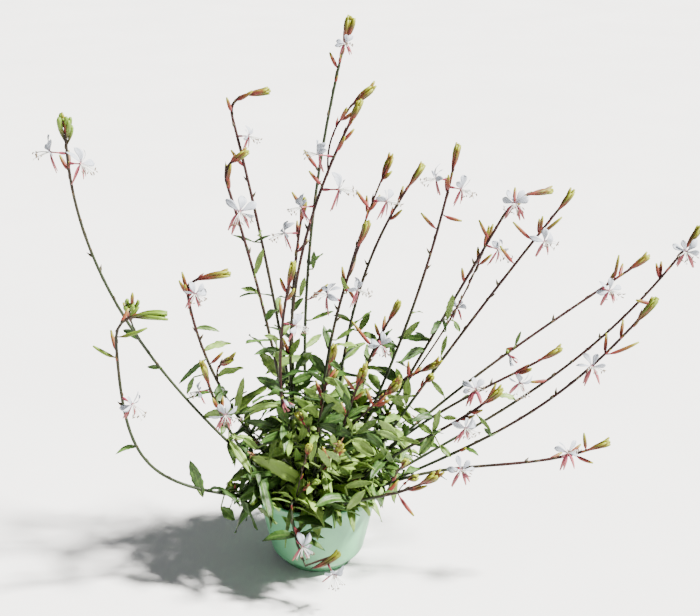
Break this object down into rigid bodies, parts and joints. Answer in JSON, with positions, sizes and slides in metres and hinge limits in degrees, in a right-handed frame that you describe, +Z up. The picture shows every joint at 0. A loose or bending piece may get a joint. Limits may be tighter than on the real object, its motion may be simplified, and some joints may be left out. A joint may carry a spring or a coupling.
{
  "type": "potted gaura",
  "caption": "Flowering gaura in a round nursery pot: arching stems with white flowers and buds above a mound of narrow leaves.",
  "frame": {"origin": "middle of the pot's flat underside, on the surface that it stands on", "axes": "+Z up, -Y towards the pictured front, +X to the picture's right"},
  "size_m": [0.6283, 0.2202, 0.5566],
  "materials": {
    "pot": "satin moulded plastic",
    "soil": "rough damp potting mix",
    "stem": "waxy leaf and reddened stem",
    "petal": "thin soft petal"
  },
  "bodies": {
    "root": {"pot": "pot", "soil": "soil", "stem_tallest": "stem", "stem_far_left": "stem", "stem_low_left": "stem", "stem_left": "stem", "stem_left_short": "stem", "stem_hook_back": "stem", "stem_hook_front": "stem", "stem_twin": "stem", "stem_middle_left": "stem", "stem_red_tip": "stem", "stem_middle": "stem", "stem_middle_right": "stem", "stem_right_tall": "stem", "stem_right_arch": "stem", "stem_right_long": "stem", "stem_far_right_upper": "stem", "stem_far_right": "stem", "stem_right_low": "stem", "stem_right_inner": "stem", "stem_right_level": "stem", "stem_right_front": "stem", "stem_over_rim": "stem", "stem_drooping": "stem", "stem_short_front": "stem", "stem_orange_buds": "stem", "stem_short_right": "stem", "bloom_01": "petal", "bloom_02": "petal", "bloom_03": "petal", "bloom_04": "petal", "bloom_05": "petal", "bloom_06": "petal", "bloom_07": "petal", "bloom_08": "petal", "bloom_09": "petal", "bloom_10": "petal", "bloom_11": "petal", "bloom_12": "petal", "bloom_13": "petal", "bloom_14": "petal", "bloom_15": "petal", "bloom_16": "petal", "bloom_17": "petal", "bloom_18": "petal", "bloom_19": "petal", "bloom_20": "petal", "bloom_21": "petal", "bloom_22": "petal", "bloom_23": "petal", "bloom_24": "petal", "bloom_25": "petal", "bloom_26": "petal", "bloom_27": "petal", "bloom_28": "petal", "bloom_29": "petal", "bloom_30": "petal", "bloom_31": "petal", "bloom_32": "petal"}
  },
  "joints": []
}
